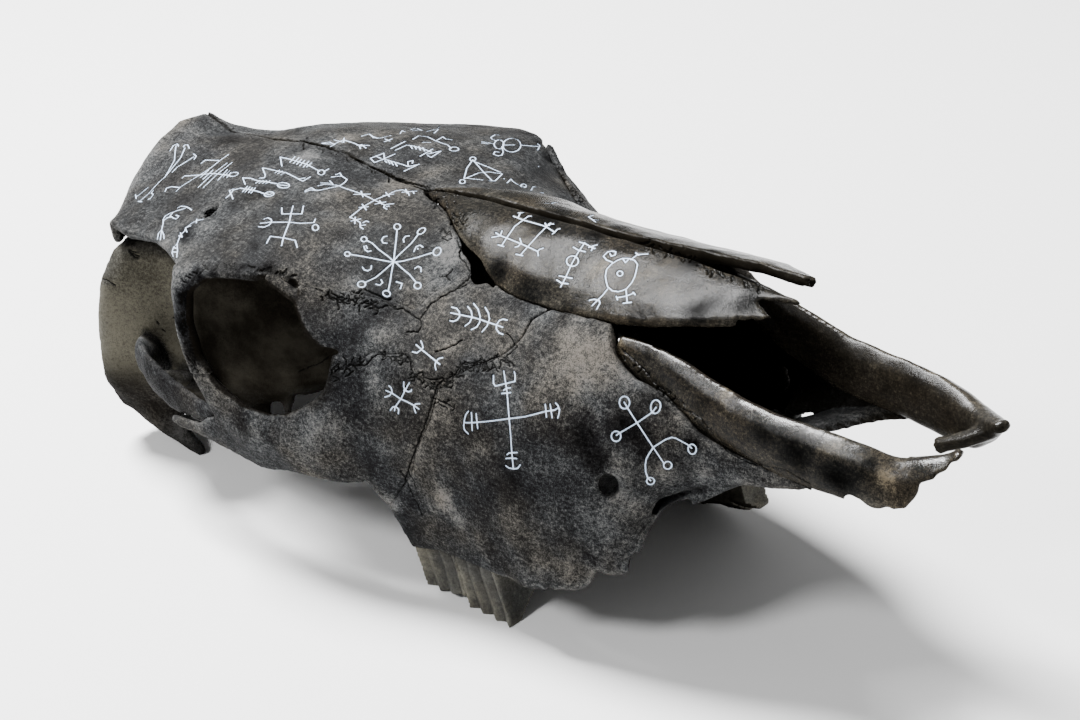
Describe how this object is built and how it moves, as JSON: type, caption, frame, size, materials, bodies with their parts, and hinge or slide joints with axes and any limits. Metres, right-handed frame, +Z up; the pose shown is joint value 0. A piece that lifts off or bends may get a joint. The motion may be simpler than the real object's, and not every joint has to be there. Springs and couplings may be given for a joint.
{
  "type": "carved cow skull",
  "caption": "Dark stained cattle skull without horns or lower jaw, its separate bones standing at their sutures, carved with pale magical staves.",
  "frame": {"origin": "middle of the underside of the bounding box, on the surface that the skull stands on", "axes": "-Y towards the nose, +X towards the animal's left, +Z up"},
  "size_m": [0.1994, 0.4658, 0.1642],
  "materials": {
    "stained_bone": "dry bone stained dark brown-black, matt and finely pitted",
    "polished_bone": "bone stained almost black and rubbed to a satin gloss",
    "tooth": "tooth enamel stained grey, with paler ribs"
  },
  "bodies": {
    "root": {"frontal_left": "stained_bone", "lacrimal_left": "stained_bone", "zygomatic_left": "stained_bone", "maxilla_left": "stained_bone", "nasal_left": "polished_bone", "premaxilla_left": "polished_bone", "palatine_left": "stained_bone", "third_molar_left": "tooth", "second_molar_left": "tooth", "first_molar_left": "tooth", "fourth_premolar_left": "tooth", "third_premolar_left": "tooth", "frontal_right": "stained_bone", "lacrimal_right": "stained_bone", "zygomatic_right": "stained_bone", "maxilla_right": "stained_bone", "nasal_right": "polished_bone", "premaxilla_right": "polished_bone", "palatine_right": "stained_bone", "third_molar_right": "tooth", "second_molar_right": "tooth", "braincase": "stained_bone", "vomer": "stained_bone"}
  },
  "joints": []
}
